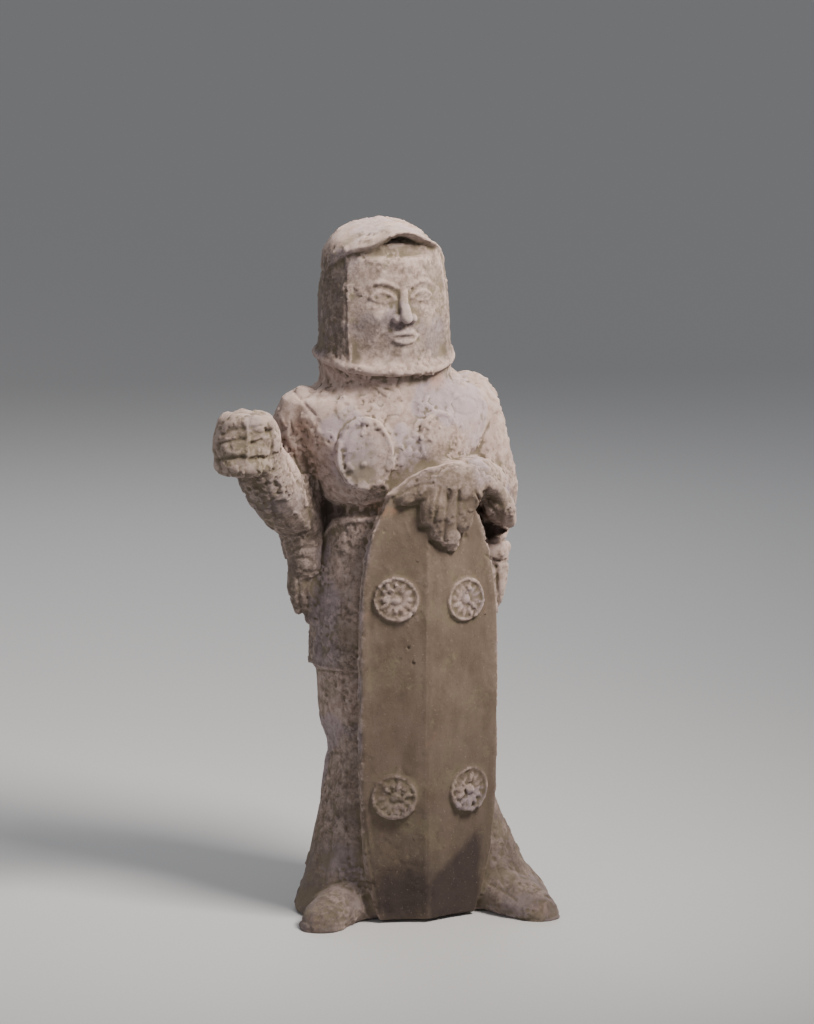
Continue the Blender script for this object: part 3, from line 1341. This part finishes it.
def math_of(operation, a, b):
    """Two numbers brought together by a Math node."""
    made = node("ShaderNodeMath", a, b)
    made.operation = operation
    return made.outputs[0]


def times(a, b):
    """Two numbers multiplied."""
    return math_of("MULTIPLY", a, b)


def blend(a, b, share_a=0.5, share_b=0.5):
    """The sum of two noises, each by its share."""
    return math_of("ADD", times(a, share_a), times(b, share_b))


def step_of(value, low, high):
    """Rises from 0 to 1 between two values."""
    made = node("ShaderNodeMapRange", value, low, high)
    made.interpolation_type = "SMOOTHSTEP"
    return made.outputs[0]


# The Mix node has one set of sockets for each kind of value. These are the numbers of those for colours.
MIX_SHARE, MIX_BELOW, MIX_ABOVE, MIX_RESULT = 0, 6, 7, 2


def over(below, above, share):
    """A colour laid over another by a share."""
    made = node("ShaderNodeMix")
    made.data_type = "RGBA"
    for key, value in ((MIX_SHARE, share), (MIX_BELOW, below), (MIX_ABOVE, above)):
        give(made.inputs[key], value)
    return made.outputs[MIX_RESULT]


def broken(share, noise, low, high, strength=0.5):
    """A kept share whose border is broken up by noise."""
    wavering = times(math_of("SUBTRACT", noise, 0.5), strength * 2)
    return step_of(math_of("ADD", share, wavering), low, high)


# %% Colours
BUFF_DARK, BUFF_PALE = (0.15, 0.112, 0.092, 1), (0.27, 0.21, 0.175, 1)
TAN_DARK, TAN_PALE = (0.130, 0.093, 0.066, 1), (0.205, 0.152, 0.115, 1)
SLIP_WARM, SLIP_PALE = (0.41, 0.295, 0.245, 1), (0.54, 0.42, 0.375, 1)
SLIP_LAVENDER, LAVENDER_CLAY = (0.42, 0.335, 0.355, 1), (0.200, 0.160, 0.170, 1)
RUST, SOIL, SOIL_PALE = (0.40, 0.22, 0.135, 1), (0.085, 0.064, 0.040, 1), (0.21, 0.17, 0.11, 1)
STAIN, SHADE = (0.040, 0.028, 0.030, 1), (0.095, 0.066, 0.062, 1)
GROUND_DIRT = (0.085, 0.064, 0.052, 1)

# %% Clay, tan and slip
broad_grain, middle_grain, small_grain = grain(16, 4, 0.0), grain(4.5, 4, 0.3), grain(1.6, 3, 0.9)
streaks = grain(9, 4, 0.5, 3.5)
clay_grain = blend(middle_grain, small_grain)
lavender_share = broken(kept("lavender"), broad_grain, 0.3, 0.85)

colour = over(BUFF_DARK, BUFF_PALE, step_of(clay_grain, 0.34, 0.66))
colour = over(colour, LAVENDER_CLAY, times(lavender_share, 0.55))
tan = over(TAN_DARK, TAN_PALE, step_of(blend(streaks, broad_grain), 0.30, 0.70))
colour = over(colour, tan, times(kept("shield_face"), 0.95))
slip_colour = over(SLIP_WARM, SLIP_PALE, step_of(middle_grain, 0.35, 0.65))
slip_colour = over(slip_colour, SLIP_LAVENDER, times(lavender_share, 0.8))
colour = over(colour, slip_colour, broken(kept("slip"), clay_grain, 0.10, 1.0, 0.55))
print("nodes up to the slip:", len(tree_of_nodes.nodes))


# %% What lies over the slip
def stained(tint, name, noise, low, high, wavering, strength):
    """The colour so far with a tint laid over it where a kept share says."""
    return over(colour, tint, times(broken(kept(name), noise, low, high, wavering), strength))


colour = stained(RUST, "rust", middle_grain, 0.45, 1.0, 0.5, 0.5)
colour = stained(SOIL_PALE, "soil", small_grain, 0.30, 0.95, 0.5, 0.7)
colour = stained(SOIL, "hollow", small_grain, 0.45, 1.1, 0.4, 0.45)
colour = stained(STAIN, "stain", middle_grain, 0.0, 0.8, 0.3, 0.92)
colour = over(colour, SHADE, times(kept("shade"), 0.8))
colour = over(colour, GROUND_DIRT, times(kept("ground_dirt"), step_of(broad_grain, 0.15, 0.65)))
colour = stained(SLIP_PALE, "crest", small_grain, 0.40, 1.0, 0.45, 0.38)
dark_specks, pale_specks = step_of(grain(1.1, 2, 1.7), 0.62, 0.72), step_of(grain(1.2, 2, 2.9), 0.64, 0.74)
colour = over(colour, SOIL, times(dark_specks, 0.5))
colour = over(colour, SLIP_PALE, times(pale_specks, 0.22))
give(shader.inputs["Base Color"], colour)

# %% Grain and gloss
grain_height = blend(grain(0.8, 3, 4.1), small_grain, 0.6, 0.8)
bump = node("ShaderNodeBump", Strength=0.55, Distance=0.35 * MM, Height=grain_height)
give(shader.inputs["Normal"], bump.outputs[0])
give(shader.inputs["Roughness"], math_of("ADD", times(middle_grain, 0.14), 0.80))
shader.inputs["Specular IOR Level"].default_value = 0.22
shader.inputs["Diffuse Roughness"].default_value = 0.7
body.data.materials.clear()
body.data.materials.append(clay)
print("material nodes:", len(tree_of_nodes.nodes))

# %% [markdown]
# ## Onto the frame
# The finished skin rides on the only body there is and stands for the plain solid. Both boxes are written down,
# so that the dressed figure can be compared with the solid's size.

# %% Ride, replace and measure
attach(body, "root")
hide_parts("warrior_figurine")
